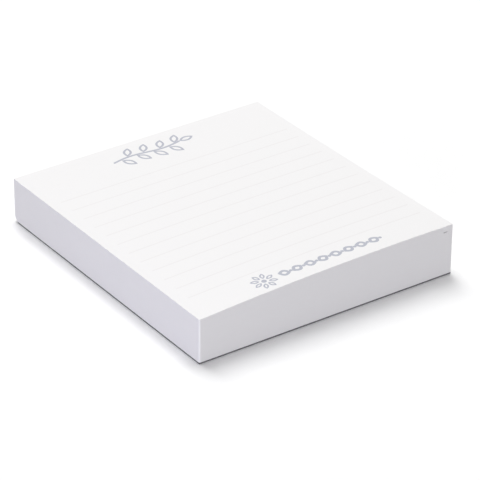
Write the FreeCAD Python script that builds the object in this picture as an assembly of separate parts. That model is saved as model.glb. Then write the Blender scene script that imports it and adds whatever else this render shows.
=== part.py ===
"""Pad of self-stick ruled notes on a thin grey board, fanned up at its loose right corner.

Millimetres. X runs along the ruled lines, +Y to the heading edge, where the notes stick to each other, and
+Z up. The origin is the centre of the underside.
"""

import os

import FreeCAD
import Part
from FreeCAD import Vector

# Notes
note_width = 68.0
note_length = 75.0
note_thickness = 0.107
note_count = 100

# Fan of the loose end, opposite the heading edge
fan_rise = 1.72  # height that the loose edge gains at its crest
fan_crest = 21.0  # X of that crest
fan_bend = 0.5  # 0 is a straight ramp from the heading edge, 1 a bend that is steepest at the loose edge

# Partings in the cut edges, where the notes stand a little apart
lift_leaves = (8, 11, 7, 12, 9)  # notes from one parting to the next, over and over
parting_gap = 0.05
parting_depth = 0.25

# Nick in the loose edge of two notes
nick_leaves = 2
nick_leaves_down = 11  # notes above the nicked ones
nick_length = 1.3
nick_depth = 0.3
nick_side_margin = 1.2  # from the right side

# Knocked lower corner, at the left of the heading edge
knock_rise = 1.6  # up the corner
knock_run = 1.8  # along both lower edges
knock_centre = 2.6  # the rounding's centre, in from both sides

# Low-tack strip between the last note and the board
strip_width = 17.0
strip_thickness = 0.03

# Board
board_thickness = 0.3

# Heights and edges that follow
left, right = -note_width / 2, note_width / 2
loose, heading = -note_length / 2, note_length / 2
strip_base = board_thickness
notes_base = strip_base + strip_thickness
flat_height = note_thickness * note_count


def fan_along(xa, xb):
    """Rise along the loose edge: a parabola that starts at the left side, in polar form."""
    span = fan_crest - left
    return fan_rise * (1 - (fan_crest - xa) * (fan_crest - xb) / span**2)


def fan_across(ya, yb):
    """Share of that rise at a distance from the heading edge, in polar form."""
    a, b = (heading - ya) / note_length, (heading - yb) / note_length
    return (1 - fan_bend) * (a + b) / 2 + fan_bend * a * b


def level_height(share, xa, xb, ya, yb):
    """Height of the level that has this share of the notes under it."""
    return notes_base + share * (flat_height + fan_along(xa, xb) * fan_across(ya, yb))


def level_face(share, margin):
    """The level as a face, wider than the notes by the margin: every note lies on such a level."""
    west, east = left - margin, right + margin
    south, north = loose - margin, heading + margin
    surface = Part.BezierSurface()
    surface.increase(2, 2)
    for i, (xa, xb) in enumerate(((west, west), (west, east), (east, east)), 1):
        for j, (ya, yb) in enumerate(((south, south), (south, north), (north, north)), 1):
            pole = Vector((xa + xb) / 2, (ya + yb) / 2, level_height(share, xa, xb, ya, yb))
            surface.setPole(i, j, pole)
    return surface.toShape()


def upright(low, high):
    """Flat side face between an edge of the lower level and the edge above it."""
    start, end = (v.Point for v in low.Vertexes)
    over = {round((v.X - start.x) ** 2 + (v.Y - start.y) ** 2, 6): v.Point for v in high.Vertexes}
    near, far = over[min(over)], over[max(over)]
    edges = [low, Part.makeLine(end, far), high, Part.makeLine(near, start)]
    return Part.Face(Part.Wire(Part.__sortEdges__(edges)))


def between_levels(low_share, high_share, margin):
    """Solid from one level up to another."""
    low, high = level_face(low_share, margin), level_face(high_share, margin)
    sides = []
    for edge in low.Edges:
        above = min(high.Edges, key=lambda e: (e.CenterOfMass - edge.CenterOfMass).Length)
        sides.append(upright(edge, above))
    solid = Part.Solid(Part.Shell([low, high] + sides))
    if solid.Volume < 0:
        solid.reverse()
    return solid


def partings():
    """Thin slots all round, each along the level between two notes."""
    inner = Part.makeBox(
        note_width - 2 * parting_depth,
        note_length - 2 * parting_depth,
        notes_base + 2 * (flat_height + fan_rise),
        Vector(left + parting_depth, loose + parting_depth, -notes_base),
    )
    half = parting_gap / flat_height / 2
    slots = []
    leaves = lift_leaves[0]
    while leaves < note_count:
        share = leaves / note_count
        slots.append(between_levels(share - half, share + half, parting_depth).cut(inner))
        leaves += lift_leaves[len(slots) % len(lift_leaves)]
    return slots


def nick():
    """Short notch, as high as the nicked notes, in the loose edge near the right corner."""
    x = right - nick_side_margin - nick_length
    share = (note_count - nick_leaves_down - nick_leaves) / note_count
    z = level_height(share, x, x, loose, loose)
    height = level_height(share + nick_leaves / note_count, x, x, loose, loose) - z
    return Part.makeBox(nick_length, 2 * nick_depth, height, Vector(x, loose - nick_depth, z))


def knocked_corner():
    """What the knock took off the lower corner: the corner block outside a ball."""
    height = (knock_rise**2 - knock_run**2 + 2 * knock_run * knock_centre) / (2 * knock_rise)
    radius = (2 * knock_centre**2 + (height - knock_rise) ** 2) ** 0.5
    block = Part.makeBox(knock_centre, knock_centre, height, Vector(left, heading - knock_centre, 0))
    ball = Part.makeSphere(radius, Vector(left + knock_centre, heading - knock_centre, height))
    return block.cut(ball)


def note_sheets():
    block = between_levels(0, 1, 0)
    return block.cut(partings() + [nick(), knocked_corner()])


def adhesive_strip():
    strip = Part.makeBox(
        note_width, strip_width, strip_thickness, Vector(left, heading - strip_width, strip_base)
    )
    return strip.cut(knocked_corner())


def backing_sheet():
    board = Part.makeBox(note_width, note_length, board_thickness, Vector(left, loose, 0))
    return board.cut(knocked_corner())


def main():
    os.makedirs("parts", exist_ok=True)
    for node in (note_sheets, adhesive_strip, backing_sheet):
        shape = node()
        if shape.ShapeType == "Compound" and len(shape.Solids) == 1:
            shape = shape.Solids[0]
        shape.exportStep("parts/" + node.__name__ + ".step")
        size = shape.BoundBox
        print(node.__name__, shape.isValid(), len(shape.Solids), len(shape.Faces),
              round(size.XLength, 3), round(size.YLength, 3), round(size.ZLength, 3))


main()
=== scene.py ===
# %% [markdown]
# # A pad of self-stick notes
#
# The object is a small block of ruled white notes on a thin grey board. Every note carries a strip of weak
# adhesive along its heading edge, so the block holds together there and its loose end has fanned up at one
# corner. The solids come from CAD at their real size. This lesson dresses them in Blender: it builds the
# notes one by one, prints the top one, gives each piece the finish of the real thing, and lights the pad
# on a white table.
#
# Everything is in metres and in the CAD frame: X runs along the ruled lines, +Y to the heading edge and +Z
# up, with the origin at the centre of the underside.

import math
import random

import bmesh
import bpy
from mathutils import Matrix, Quaternion, Vector


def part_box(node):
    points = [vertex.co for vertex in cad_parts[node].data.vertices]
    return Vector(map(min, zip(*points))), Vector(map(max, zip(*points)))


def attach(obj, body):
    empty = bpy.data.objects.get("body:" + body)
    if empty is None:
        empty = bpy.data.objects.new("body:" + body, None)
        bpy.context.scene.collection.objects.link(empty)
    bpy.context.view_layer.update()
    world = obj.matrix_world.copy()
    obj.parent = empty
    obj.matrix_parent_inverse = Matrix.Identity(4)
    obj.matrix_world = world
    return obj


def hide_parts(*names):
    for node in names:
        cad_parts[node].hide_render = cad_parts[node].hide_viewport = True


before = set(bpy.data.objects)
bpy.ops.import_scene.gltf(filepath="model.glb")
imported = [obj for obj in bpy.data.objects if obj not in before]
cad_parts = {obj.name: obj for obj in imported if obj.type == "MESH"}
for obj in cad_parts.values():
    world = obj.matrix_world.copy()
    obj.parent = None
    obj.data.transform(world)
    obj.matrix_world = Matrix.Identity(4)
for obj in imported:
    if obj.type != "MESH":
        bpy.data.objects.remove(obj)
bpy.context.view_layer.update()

# %% [markdown]
# ## Sizes
#
# A maker thinks of this product in millimetres, so a value in millimetres is written as `12 * MM`. The sides
# and the heights of the pieces are read from the solids and aren't typed again. Only what a box can't tell
# is repeated here: how many notes there are, how thick each one is and how the loose end fans up.

# %% Sizes of the pad
MM = 0.001
notes_low, notes_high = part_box("note_sheets")
LEFT, RIGHT = notes_low.x, notes_high.x
LOOSE, HEADING = notes_low.y, notes_high.y
NOTES_BASE = notes_low.z
NOTE_WIDTH, NOTE_LENGTH = RIGHT - LEFT, HEADING - LOOSE

NOTE_COUNT = 100
NOTE_THICKNESS = 0.107 * MM
FAN_RISE = 1.72 * MM
FAN_CREST = 21 * MM
FAN_BEND = 0.5


def level_height(share, x, y):
    """Height of the level that has this share of the notes under it."""
    along = 1 - ((FAN_CREST - x) / (FAN_CREST - LEFT)) ** 2
    run = (HEADING - y) / NOTE_LENGTH
    across = (1 - FAN_BEND) * run + FAN_BEND * run**2
    return NOTES_BASE + share * (NOTE_COUNT * NOTE_THICKNESS + FAN_RISE * along * across)


print("the top note's loose edge crests at", round(level_height(1, FAN_CREST, LOOSE) / MM, 3), "mm")
print("the solid's highest point is", round(notes_high.z / MM, 3), "mm")

# %% [markdown]
# ## Small helpers
#
# A bmesh is Blender's mesh while it is being edited. Each piece below starts as one, gets its shape from
# bmesh operators, and becomes an object with the helper in the next cell. The object stays at the origin,
# unturned and unscaled, and its place is in its mesh, as with the solids from CAD.

# %% Make an object from a bmesh


def piece_from(bm, name, material, body="root"):
    """Turns a finished bmesh into an object, which rides on the pad's one body unless body is None."""
    bmesh.ops.recalc_face_normals(bm, faces=bm.faces)
    mesh = bpy.data.meshes.new(name)
    bm.to_mesh(mesh)
    bm.free()
    mesh.materials.append(material)
    piece = bpy.data.objects.new(name, mesh)
    bpy.context.scene.collection.objects.link(piece)
    if body:
        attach(piece, body)
    print(name, "has", sum(len(face.vertices) - 2 for face in mesh.polygons), "triangles")
    return piece


# %% [markdown]
# ## Finishes
#
# A material is a small network of nodes around one Principled BSDF shader, which follows how real surfaces
# reflect light. Colours are written as the hex values that a paint program shows. Those are sRGB values, so
# one function turns them into the linear numbers that the shader works with. A second one adds a node with
# its settings and links, and a third starts a material. The finishes below need no more.

# %% Colour and node helpers


def linear(hex_colour):
    """Linear red, green, blue and alpha from an sRGB hex colour, by the formula of the sRGB standard."""
    values = []
    for start in (1, 3, 5):
        share = int(hex_colour[start : start + 2], 16) / 255
        values.append(share / 12.92 if share <= 0.04045 else ((share + 0.055) / 1.055) ** 2.4)
    return (*values, 1.0)


def add_node(tree, kind, links=None, **settings):
    """Adds a node to a material or the world.

    Settings are its properties or its sockets, with _ for a space. Links feed sockets by name or number.
    """
    node = tree.nodes.new(kind)
    for name, value in settings.items():
        if hasattr(node, name):
            setattr(node, name, value)
        else:
            node.inputs[name.replace("_", " ")].default_value = value
    for socket, source in (links or {}).items():
        tree.links.new(source, node.inputs[socket])
    return node


def new_finish(name):
    """An empty material with an output node; returns the material, its node tree and the output."""
    material = bpy.data.materials.new(name)
    material.use_nodes = True
    tree = material.node_tree
    tree.nodes.clear()
    return material, tree, add_node(tree, "ShaderNodeOutputMaterial")


print("the middle grey #808080 in linear light:", [round(v, 3) for v in linear("#808080")])

# %% [markdown]
# ### Uncoated writing paper
#
# Woodfree paper is pressed from bleached fibres with no coat, so it has no gloss: it scatters light evenly,
# and its white is almost neutral. Its fibre clumps are a little over half a millimetre wide, which gives a
# cloudy look of very low contrast, and the fibres themselves give a faint tooth. Noise on Object coordinates
# follows real size, so its scale is one over the width of a clump or a fibre.

# %% Paper finish
PAPER_WHITE = "#F4F3F3"
PAPER_CLOUD = "#F2F1F1"
CLUMP_WIDTH = 0.6 * MM
CLUMP_DETAIL = 3.0
TOOTH_WIDTH = 0.12 * MM
TOOTH_DETAIL = 2.0
TOOTH_HEIGHT = 0.002 * MM
TOOTH_STRENGTH = 0.5
PAPER_IOR = 1.5
PAPER_ROUGHNESS = 0.92
PAPER_SPECULAR = 0.25


def paper_finish(name, base, cloud):
    """Matt fibre surface between two near colours."""
    material, tree, output = new_finish(name)
    place = {"Vector": add_node(tree, "ShaderNodeTexCoord").outputs["Object"]}
    clumps = add_node(tree, "ShaderNodeTexNoise", place, Scale=1 / CLUMP_WIDTH, Detail=CLUMP_DETAIL)
    tone = add_node(tree, "ShaderNodeMix", {"Factor": clumps.outputs["Fac"]}, data_type="RGBA")
    tone.inputs["A"].default_value = linear(base)
    tone.inputs["B"].default_value = linear(cloud)
    tooth = add_node(tree, "ShaderNodeTexNoise", place, Scale=1 / TOOTH_WIDTH, Detail=TOOTH_DETAIL)
    bump = add_node(
        tree,
        "ShaderNodeBump",
        {"Height": tooth.outputs["Fac"]},
        Distance=TOOTH_HEIGHT,
        Strength=TOOTH_STRENGTH,
    )
    surface = add_node(
        tree,
        "ShaderNodeBsdfPrincipled",
        {"Base Color": tone.outputs["Result"], "Normal": bump.outputs["Normal"]},
        Roughness=PAPER_ROUGHNESS,
        IOR=PAPER_IOR,
        Specular_IOR_Level=PAPER_SPECULAR,
    )
    tree.links.new(surface.outputs["BSDF"], output.inputs["Surface"])
    return material


woodfree_paper = paper_finish("woodfree_paper", PAPER_WHITE, PAPER_CLOUD)
print("fibre clumps repeat every", CLUMP_WIDTH / MM, "mm")

# %% [markdown]
# ## The block of notes
#
# A hundred notes of a tenth of a millimetre could be one block with lines painted on its sides. Here each
# note is its own thin slab instead, so the cut edges catch the light as a real stack does. A note starts as
# a flat grid, gets its outline, and is made one unit thick. Its place in the stack then says which share of
# the height lies under it, and the level's formula bends it: near the heading edge the notes lie flat, and
# towards the loose corner they spread apart.
#
# A guillotine cuts the whole block at once, so the sharp corners are hardly rounded. Only the one nearest
# the camera is worn round enough to catch a line of light.

# %% One flat note
CORNER_ROUND = 0.08 * MM
FRONT_CORNER_ROUND = 0.38 * MM
CORNER_STEPS = 4
HALF_UNIT = 0.5  # create_grid takes half a side, so this gives a square of one unit


def flat_note(across, along):
    """A note as a flat grid with sharp corners, lying at height zero."""
    bm = bmesh.new()
    bmesh.ops.create_grid(bm, x_segments=across, y_segments=along, size=HALF_UNIT)
    bmesh.ops.scale(bm, vec=(NOTE_WIDTH, NOTE_LENGTH, 1), verts=bm.verts)
    bmesh.ops.translate(bm, vec=((LEFT + RIGHT) / 2, (LOOSE + HEADING) / 2, 0), verts=bm.verts)
    return bm


def corner_vertex(bm, x, y):
    """The vertex of a flat note that lies at this corner."""
    return min(bm.verts, key=lambda v: (v.co.x - x) ** 2 + (v.co.y - y) ** 2)


def round_corner(bm, x, y, reach, profile=0.5):
    """Rounds one corner of a flat note, starting this far from it along both sides.

    A profile of 0.5 is a quarter circle, and one of 0.25 a straight cut.
    """
    bmesh.ops.bevel(
        bm,
        geom=[corner_vertex(bm, x, y)],
        offset=reach,
        offset_type="OFFSET",
        affect="VERTICES",
        segments=CORNER_STEPS,
        profile=profile,
        material=-1,
    )


def thicken(bm):
    """Turns a flat outline at height zero into a closed slab one unit thick."""
    grown = bmesh.ops.extrude_face_region(bm, geom=bm.faces[:], use_keep_orig=True)
    top = [item for item in grown["geom"] if isinstance(item, bmesh.types.BMVert)]
    bmesh.ops.translate(bm, vec=(0, 0, 1), verts=top)


def lay_on_stack(bm, index, shift, fill=1.0):
    """Lays a slab one unit thick in the stack, as the note with this index from below."""
    for vertex in bm.verts:
        share = (index + vertex.co.z * fill) / NOTE_COUNT
        vertex.co.z = level_height(share, vertex.co.x, vertex.co.y)
    bmesh.ops.translate(bm, vec=(shift.x, shift.y, 0), verts=bm.verts)


print("a note is", round(NOTE_WIDTH / MM, 1), "by", round(NOTE_LENGTH / MM, 1), "mm")

# %% [markdown]
# ### The knocked corner and the nick
#
# The pad has been knocked at its lower left corner, beside the heading edge: the lowest notes and the board
# are rounded there, as by a ball that fits the corner. Two notes have a nick a little over a millimetre long
# in the loose edge, near its right corner. Both are cut into the flat outline, before the note gets its
# thickness: a vertex bevel rounds the corner, and three cuts with `bisect_plane` mark out the nick.

# %% Cut the wear into a note
KNOCK_RUN = 1.8 * MM
KNOCK_RISE = 1.6 * MM
KNOCK_CENTRE = 2.6 * MM
KNOCK_PROFILE = 0.38
NICKED_NOTES = 2
NICK_NOTES_DOWN = 11
NICK_LENGTH = 1.3 * MM
NICK_DEPTH = 0.3 * MM
NICK_SIDE_MARGIN = 1.2 * MM


def knock_reach(height):
    """How far from the corner the ball takes the outline back, at this height."""
    centre_height = (KNOCK_RISE**2 - KNOCK_RUN**2 + 2 * KNOCK_RUN * KNOCK_CENTRE) / (2 * KNOCK_RISE)
    radius_squared = 2 * KNOCK_CENTRE**2 + (centre_height - KNOCK_RISE) ** 2
    across_squared = radius_squared - (centre_height - height) ** 2
    return KNOCK_CENTRE - math.sqrt(across_squared - KNOCK_CENTRE**2) if height < KNOCK_RISE else 0.0


def cut_line(bm, point, normal):
    """Cuts every face of a flat note along the line where a plane crosses it."""
    bmesh.ops.bisect_plane(bm, geom=bm.verts[:] + bm.edges[:] + bm.faces[:], plane_co=point, plane_no=normal)


def cut_nick(bm):
    """Takes the nick out of the loose edge of a flat note."""
    end = RIGHT - NICK_SIDE_MARGIN
    start = end - NICK_LENGTH
    depth = LOOSE + NICK_DEPTH
    cut_line(bm, (start, 0, 0), (1, 0, 0))
    cut_line(bm, (end, 0, 0), (1, 0, 0))
    cut_line(bm, (0, depth, 0), (0, 1, 0))
    middles = {face: face.calc_center_median() for face in bm.faces}
    inside = [face for face, middle in middles.items() if start < middle.x < end and middle.y < depth]
    bmesh.ops.delete(bm, geom=inside, context="FACES")


print("the knock reaches", [round(knock_reach(z * MM) / MM, 2) for z in (0, 0.3, 0.6, 0.9, 1.2)], "mm")

# %% [markdown]
# ### Stack the notes
#
# The lower ninety-nine notes are one object, because nothing tells them apart but their place. Each has a
# coarse grid of its own, just fine enough for the bend. Handling a block shifts its notes by a few
# thousandths of a millimetre, and a seeded random shift of each note does the same. Each fills a little less
# than its share of the height, so that no two slabs touch.

# %% Stack the lower notes
SHIFT = 0.006 * MM
NOTE_CELLS = (14, 14)
LOW_FILL = 0.97
HANDLING_SEED = 7
handling = random.Random(HANDLING_SEED)


def cut_note(index, cells):
    """The outline of one note with its share of the wear, still flat."""
    bm = flat_note(*cells)
    reach = knock_reach(level_height(index / NOTE_COUNT, LEFT, HEADING))
    if reach > CORNER_ROUND:
        round_corner(bm, LEFT, HEADING, reach, KNOCK_PROFILE)
    else:
        round_corner(bm, LEFT, HEADING, CORNER_ROUND)
    round_corner(bm, LEFT, LOOSE, FRONT_CORNER_ROUND)
    for x, y in ((RIGHT, LOOSE), (RIGHT, HEADING)):
        round_corner(bm, x, y, CORNER_ROUND)
    if NICK_NOTES_DOWN < NOTE_COUNT - index <= NICK_NOTES_DOWN + NICKED_NOTES:
        cut_nick(bm)
    thicken(bm)
    return bm


stack = bmesh.new()
for index in range(NOTE_COUNT - 1):
    note = cut_note(index, NOTE_CELLS)
    shift = Vector((handling.uniform(-SHIFT, SHIFT), handling.uniform(-SHIFT, SHIFT)))
    lay_on_stack(note, index, shift, LOW_FILL)
    laid = bpy.data.meshes.new("laid_note")
    note.to_mesh(laid)
    note.free()
    stack.from_mesh(laid)
    bpy.data.meshes.remove(laid)
lower_notes = piece_from(stack, "lower_notes", woodfree_paper)

# %% [markdown]
# The top note is the one that is read and written on. It lies straight, fills its whole share of the height,
# and has a finer grid, so that its bend shades smoothly.

# %% Lay the top note
TOP_CELLS = (44, 48)

sheet = cut_note(NOTE_COUNT - 1, TOP_CELLS)
lay_on_stack(sheet, NOTE_COUNT - 1, Vector((0, 0)))
top_note = piece_from(sheet, "top_note", woodfree_paper)
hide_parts("note_sheets")
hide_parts("note_sheets")

# %% [markdown]
# ## The print
#
# The notes are printed in two pale inks: a grey for the twelve faint rules to write on, and a lavender grey
# for a small sprig at the heading and a flower with a garland at the foot. Offset ink is a thin matt film,
# because the paper under it drinks it in, so each ink is one even colour with hardly any gloss.

# %% Ink finishes
RULE_GREY = "#EEECEC"
PALE_INK = "#BCBEC8"
INK_ROUGHNESS = 0.85
INK_SPECULAR = 0.2


def ink_finish(name, colour):
    """A thin film of offset ink in one even colour."""
    material, tree, output = new_finish(name)
    surface = add_node(
        tree, "ShaderNodeBsdfPrincipled", Roughness=INK_ROUGHNESS, Specular_IOR_Level=INK_SPECULAR
    )
    surface.inputs["Base Color"].default_value = linear(colour)
    tree.links.new(surface.outputs["BSDF"], output.inputs["Surface"])
    return material


rule_ink = ink_finish("pale_grey_rule_ink", RULE_GREY)
motif_ink = ink_finish("pale_lavender_ink", PALE_INK)
print("inks:", rule_ink.name, "and", motif_ink.name)

# %% [markdown]
# Ink could be painted by a mask in the paper's material. Here each printed shape is a film of its own, a few
# thousandths of a millimetre thick, which keeps its outline sharp at any distance. The films are drawn flat
# and draped on the top note by the same formula that bent it. They sink into it a little, so that no gap
# shows.

# %% Drape printed shapes on the top note
INK_FILM = 0.006 * MM
INK_SINK = 0.002 * MM
SLAB_MIDDLE = 0.5  # between the two faces of a slab one unit thick


def drape(bm):
    """Turns flat shapes into closed films of ink that follow the top note."""
    thicken(bm)
    for vertex in bm.verts:
        lift = INK_FILM if vertex.co.z > SLAB_MIDDLE else -INK_SINK
        vertex.co.z = level_height(1, vertex.co.x, vertex.co.y) + lift


def add_bar(bm, start, end, width, steps):
    """Adds a flat bar between two points, cut into steps so that it can bend."""
    line = end - start
    place = Matrix.Translation(((start.x + end.x) / 2, (start.y + end.y) / 2, 0))
    turn = Matrix.Rotation(math.atan2(line.y, line.x), 4, "Z")
    size = Matrix.Diagonal((line.length, width, 1, 1))
    bmesh.ops.create_grid(bm, x_segments=steps, y_segments=1, size=HALF_UNIT, matrix=place @ turn @ size)


print("an ink film stands", INK_FILM / MM, "mm above the paper")

# %% [markdown]
# ### Rules
#
# Twelve rules lie 4.6 mm apart between the sprig and the garland. They stop short of the sides, as rules do
# on paper that is trimmed after printing.

# %% Print the rules
RULE_COUNT = 12
FIRST_RULE = 21.95 * MM
RULE_PITCH = 4.62 * MM
RULE_START, RULE_END = -31 * MM, 31.5 * MM
RULE_WIDTH = 0.3 * MM
RULE_STEPS = 24

rules = bmesh.new()
for number in range(RULE_COUNT):
    y = FIRST_RULE - number * RULE_PITCH
    add_bar(rules, Vector((RULE_START, y)), Vector((RULE_END, y)), RULE_WIDTH, RULE_STEPS)
drape(rules)
printed_rules = piece_from(rules, "printed_rules", rule_ink)

# %% [markdown]
# ### Sprig and garland
#
# Both are line drawings of leaves and dots. Each leaf starts as two circles, one for the outside of its line
# and one for the inside. Both are flattened to a pair of arcs that meet in points, and the bridge operator
# fills the band between them. A dot is a filled disc. The shapes may touch but don't overlap, because two
# films at one height would shade each other in spots.

# %% Draw a leaf or a dot
DISC_SIDES = 24


def add_disc(bm, centre, radius):
    """Adds a flat round dot."""
    bmesh.ops.create_circle(
        bm, cap_ends=True, segments=DISC_SIDES, radius=radius, matrix=Matrix.Translation((*centre, 0))
    )


def add_leaf(bm, foot, angle, length, width, stroke):
    """Adds the flat outline of a leaf that grows from its foot at this angle."""
    turned = Matrix.Translation((*foot, 0)) @ Matrix.Rotation(angle, 4, "Z")
    place = turned @ Matrix.Translation((length / 2, 0, 0))
    tip_stroke = stroke / math.sin(math.atan2(2 * width, length))
    outlines = set()
    for half_length, half_width in ((length / 2, width / 2), (length / 2 - tip_stroke, width / 2 - stroke)):
        outline = bmesh.ops.create_circle(bm, segments=DISC_SIDES, radius=1)["verts"]
        for vertex in outline:
            vertex.co.y = math.copysign(1 - vertex.co.x**2, vertex.co.y)
        size = Matrix.Diagonal((half_length, half_width, 1, 1))
        bmesh.ops.transform(bm, matrix=place @ size, verts=outline)
        outlines.update(edge for vertex in outline for edge in vertex.link_edges)
    bmesh.ops.bridge_loops(bm, edges=list(outlines))


print("a dot, and each of the two lines of a leaf, has", DISC_SIDES, "sides")

# %% [markdown]
# The sprig's stem is a thin bar that is bent to a wave, with leaves on both sides in turn and one at its
# end. Each side leaf starts at the edge of the stem and leans forward.

# %% Print the sprig
SPRIG_START, SPRIG_END = Vector((-11.2 * MM, 30.7 * MM)), Vector((7.4 * MM, 31.4 * MM))
SPRIG_WAVE = 0.6 * MM
STEM_WIDTH = 0.6 * MM
STEM_STEPS = 36
LEAF_LENGTH, LEAF_WIDTH = 4.0 * MM, 2.1 * MM
LEAF_STROKE = 0.54 * MM
LEAF_LEAN = math.radians(58)
LEAF_COUNT = 8
LEAF_FOOT = 0.6  # from the middle of the stem to a leaf's foot, in stem widths
LAST_LEAF_GAP = 0.8  # from the last side leaf to the stem's end, in leaf spacings
END_LEAF_TURN = 0.1  # in radians


def stem_wave(x):
    """How far the stem's wave carries it off its straight line, at this place along the rules."""
    return SPRIG_WAVE * math.sin(2 * math.pi * (x - SPRIG_START.x) / (SPRIG_END.x - SPRIG_START.x))


motifs = bmesh.new()
add_bar(motifs, SPRIG_START, SPRIG_END, STEM_WIDTH, STEM_STEPS)
for vertex in motifs.verts:
    vertex.co.y += stem_wave(vertex.co.x)
for number in range(LEAF_COUNT):
    lean = LEAF_LEAN if number % 2 else -LEAF_LEAN
    foot = SPRIG_START.lerp(SPRIG_END, (number + 1) / (LEAF_COUNT + LAST_LEAF_GAP))
    foot.y += stem_wave(foot.x)
    foot += Vector((math.cos(lean), math.sin(lean))) * STEM_WIDTH * LEAF_FOOT
    add_leaf(motifs, foot, lean, LEAF_LENGTH, LEAF_WIDTH, LEAF_STROKE)
add_leaf(motifs, SPRIG_END, END_LEAF_TURN, LEAF_LENGTH, LEAF_WIDTH, LEAF_STROKE)
print("the sprig has", LEAF_COUNT + 1, "leaves")

# %% [markdown]
# At the foot, eight short leaves round a dot make a flower. Eight more leaves, with a dot after each, make
# the garland beside it. All motifs are one piece, because one ink prints them in one pass.

# %% Print the flower and the garland
FLOWER_CENTRE = Vector((-14.3 * MM, -33.3 * MM))
PETAL_COUNT = 8
PETAL_LENGTH, PETAL_WIDTH = 2.2 * MM, 1.2 * MM
PETAL_STROKE = 0.38 * MM
PETAL_FOOT = 1.0 * MM  # from the flower's centre to each petal
FLOWER_EYE = 0.62 * MM
GARLAND_START, GARLAND_STEP = Vector((-10.3 * MM, -33.1 * MM)), 3.45 * MM
GARLAND_COUNT = 8
GARLAND_LEAF_LENGTH, GARLAND_LEAF_WIDTH = 3.0 * MM, 2.5 * MM
GARLAND_STROKE = 0.75 * MM
GARLAND_LEAN = math.radians(20)
DOT_RADIUS = 0.42 * MM

add_disc(motifs, FLOWER_CENTRE, FLOWER_EYE)
for number in range(PETAL_COUNT):
    angle = 2 * math.pi * (number + 0.5) / PETAL_COUNT
    foot = FLOWER_CENTRE + Vector((math.cos(angle), math.sin(angle))) * PETAL_FOOT
    add_leaf(motifs, foot, angle, PETAL_LENGTH, PETAL_WIDTH, PETAL_STROKE)
for number in range(GARLAND_COUNT):
    foot = GARLAND_START + Vector((GARLAND_STEP * number, 0))
    lean = GARLAND_LEAN if number % 2 else -GARLAND_LEAN
    centre = foot + Vector((GARLAND_LEAF_LENGTH / 2, 0))
    start = centre - Vector((math.cos(lean), math.sin(lean))) * GARLAND_LEAF_LENGTH / 2
    add_leaf(motifs, start, lean, GARLAND_LEAF_LENGTH, GARLAND_LEAF_WIDTH, GARLAND_STROKE)
    add_disc(motifs, centre + Vector((GARLAND_STEP / 2, 0)), DOT_RADIUS)
drape(motifs)
printed_motifs = piece_from(motifs, "printed_motifs", motif_ink)

# %% [markdown]
# ## Board and adhesive
#
# The board and the low-tack strip keep their solids from CAD, because a flat card and a coat of adhesive
# have nothing more to shape. They only get a finish. Grey board is pressed from waste paper, so it is
# speckled and quite matt, with the same cloudy fibres as the notes. Its grey is partly the board's own and
# partly painted shade: it is made dark so that its thin edge also draws the contact shadow at the pad's
# foot.

# %% Finish the board
# The board's grey and speck, darkened as painted shade for the contact shadow along the pad's foot
BOARD_GREY_WITH_BASE_SHADE = "#6C6C6E"
BOARD_SPECK_WITH_BASE_SHADE = "#606063"


def dress_solid(name, material):
    """Gives a solid from CAD its finish and leaves its mesh as it is."""
    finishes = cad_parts[name].data.materials
    finishes.clear()
    finishes.append(material)
    print(name, "is finished in", [finish.name for finish in finishes])


dress_solid("backing_sheet", paper_finish("grey_board", BOARD_GREY_WITH_BASE_SHADE, BOARD_SPECK_WITH_BASE_SHADE))

# %% [markdown]
# The adhesive is a dry film of tiny tacky beads. It scatters light as milk does and is smoother than paper,
# so it is an even off-white with a soft gloss. Only its thin edge could show.

# %% Finish the adhesive
ADHESIVE_MILKY = "#ECEAE2"
ADHESIVE_ROUGHNESS = 0.45
ADHESIVE_IOR = 1.47

low_tack, low_tack_tree, low_tack_output = new_finish("low_tack_adhesive")
film = add_node(low_tack_tree, "ShaderNodeBsdfPrincipled", Roughness=ADHESIVE_ROUGHNESS, IOR=ADHESIVE_IOR)
film.inputs["Base Color"].default_value = linear(ADHESIVE_MILKY)
low_tack_tree.links.new(film.outputs["BSDF"], low_tack_output.inputs["Surface"])
dress_solid("adhesive_strip", low_tack)

# %% [markdown]
# ## Table
#
# The pad lies on a sheet of white paper that fills the picture. A real white sheet would throw half of the
# light back at the pad's sides and grade them from dark to light. The picture shows even sides, so the floor
# has two colours: white where the camera, a gloss or a glass sees it, and a mid grey for the light that it
# throws back. The Light Path node tells the two apart, and the world below makes use of it in the same way.

# %% Lay the floor
FLOOR_SIDE = 3.0
FLOOR_WHITE = "#FFFFFF"
FLOOR_BOUNCE = "#909090"


def seen_rays(tree):
    """A value that is 1 for rays by which the background is seen, and 0 for the light that it gives off."""
    ray = add_node(tree, "ShaderNodeLightPath")
    seen = ray.outputs["Is Camera Ray"]
    for kind in ("Is Glossy Ray", "Is Transmission Ray"):
        both = {0: seen, 1: ray.outputs[kind]}
        seen = add_node(tree, "ShaderNodeMath", both, operation="ADD", use_clamp=True).outputs["Value"]
    return seen


white_floor, floor_tree, floor_output = new_finish("white_floor")
shade = add_node(floor_tree, "ShaderNodeMix", {"Factor": seen_rays(floor_tree)}, data_type="RGBA")
shade.inputs["A"].default_value = linear(FLOOR_BOUNCE)
shade.inputs["B"].default_value = linear(FLOOR_WHITE)
matt = add_node(floor_tree, "ShaderNodeBsdfDiffuse", {"Color": shade.outputs["Result"]})
floor_tree.links.new(matt.outputs["BSDF"], floor_output.inputs["Surface"])
ground = bmesh.new()
bmesh.ops.create_grid(ground, x_segments=1, y_segments=1, size=FLOOR_SIDE / 2)
floor = piece_from(ground, "floor", white_floor, body=None)

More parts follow.
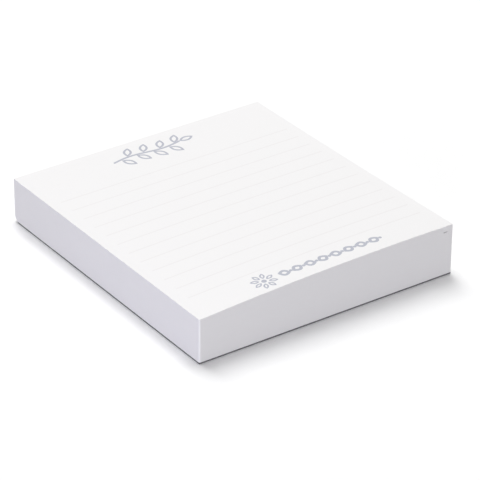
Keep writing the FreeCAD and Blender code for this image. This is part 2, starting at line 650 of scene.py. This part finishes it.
# %% [markdown]
# ## Light
#
# Two softboxes hang four metres up, side by side above and behind the pad, and give most of the light. They
# are much longer than they are wide, so the shadow in front of the pad is long and soft, while the ones at
# its sides are short.
#
# White panels give the upright sides their tone. They stand low, because level light brightens what stands
# upright and hardly the table with its shadow. The large one stands well back on the diagonal through the
# nearest corner, where it draws the bright line down that corner. The small ones even out the two sides, the
# left one with lavender light. The one at the back left stands a little higher and also softens the shadow
# there.

# %% Light the pad
LAMP_WHITE = "#FFFFFF"
COOL_WHITE = "#FAF9FF"
LAVENDER = "#A0A0FF"


def place_panel(name, place, facing, size, watts, tint=LAMP_WHITE):
    """Sets up a rectangular light; its place and size are in metres."""
    lamp = bpy.data.lights.new(name, "AREA")
    lamp.shape = "RECTANGLE"
    lamp.size, lamp.size_y = size
    lamp.energy = watts
    lamp.color = linear(tint)[:3]
    panel = bpy.data.objects.new(name, lamp)
    panel.location = place
    panel.rotation_euler = Vector(facing).to_track_quat("-Z", "Y").to_euler()
    bpy.context.scene.collection.objects.link(panel)
    print(name, "stands", round(panel.location.length, 2), "m from the pad")


place_panel("right_softbox", place=(1.06, 1.85, 4.0), facing=(0, 0, -1), size=(1.3, 5.1), watts=152)
place_panel("left_softbox", place=(-0.23, 2.4, 4.0), facing=(0, 0, -1), size=(1.15, 3.6), watts=100)
place_panel(
    "diagonal_panel",
    place=(-1, -1, 0.065),
    facing=(1, 1, -0.04),
    size=(0.4, 0.08),
    watts=13.9,
    tint=COOL_WHITE,
)
place_panel(
    "front_panel",
    place=(0.08, -0.2, 0.018),
    facing=(-0.2, 1, -0.08),
    size=(0.08, 0.03),
    watts=0.012,
)
place_panel(
    "left_panel",
    place=(-0.2, -0.05, 0.018),
    facing=(1, 0.1, -0.08),
    size=(0.08, 0.03),
    watts=0.02,
    tint=LAVENDER,
)
place_panel(
    "back_left_panel",
    place=(-0.22, 0.08, 0.08),
    facing=(1, -0.36, -0.36),
    size=(0.08, 0.08),
    watts=0.028,
)

# %% [markdown]
# The world is white where it is seen, at a strength of one, and gives only a dim light of its own. A Map
# Range node does this: it turns the 0 and 1 of the rays into the world's level and 1.

# %% Set up the world
WORLD_WHITE = "#FFFFFF"
WORLD_LEVEL = 0.075

world = bpy.data.worlds.new("white_studio")
bpy.context.scene.world = world
world.use_nodes = True
sky = world.node_tree.nodes["Background"]
sky.inputs["Color"].default_value = linear(WORLD_WHITE)
seen = {"Value": seen_rays(world.node_tree)}
level = add_node(world.node_tree, "ShaderNodeMapRange", seen, To_Min=WORLD_LEVEL)
world.node_tree.links.new(level.outputs["Result"], sky.inputs["Strength"])
print("the world lights the pad at a level of", WORLD_LEVEL)

# %% [markdown]
# ## Camera
#
# A long lens from well back keeps the pad's sides nearly parallel. The camera looks down by 30 degrees past
# the corner between the left side and the loose edge.

# %% Set the camera
CAMERA_AZIMUTH, CAMERA_ELEVATION = -35.24, 29.845
CAMERA_ROLL = math.radians(0.519)
CAMERA_PLACE = Vector((-354.556, -505.833, 356.187)) * MM
LENS, SENSOR_WIDTH = 236.0, 36  # in millimetres, as Blender takes them
NEAREST_SEEN, FARTHEST_SEEN = 0.05, 10


def direction(azimuth, elevation):
    """Unit vector towards a place round the pad: azimuth 0 is in front of it and 90 to its right."""
    turn, rise = math.radians(azimuth), math.radians(elevation)
    return Vector((math.sin(turn) * math.cos(rise), -math.cos(turn) * math.cos(rise), math.sin(rise)))


camera = bpy.data.cameras.new("camera")
camera.lens = LENS
camera.sensor_width = SENSOR_WIDTH
camera.clip_start, camera.clip_end = NEAREST_SEEN, FARTHEST_SEEN
viewer = bpy.data.objects.new("camera", camera)
viewer.location = CAMERA_PLACE
aim = (-direction(CAMERA_AZIMUTH, CAMERA_ELEVATION)).to_track_quat("-Z", "Y")
viewer.rotation_mode = "QUATERNION"
viewer.rotation_quaternion = aim @ Quaternion((0, 0, 1), CAMERA_ROLL)
bpy.context.scene.collection.objects.link(viewer)
bpy.context.scene.camera = viewer
bpy.context.scene.view_settings.view_transform = "Standard"
print("camera", round(viewer.location.length, 3), "m from the pad")
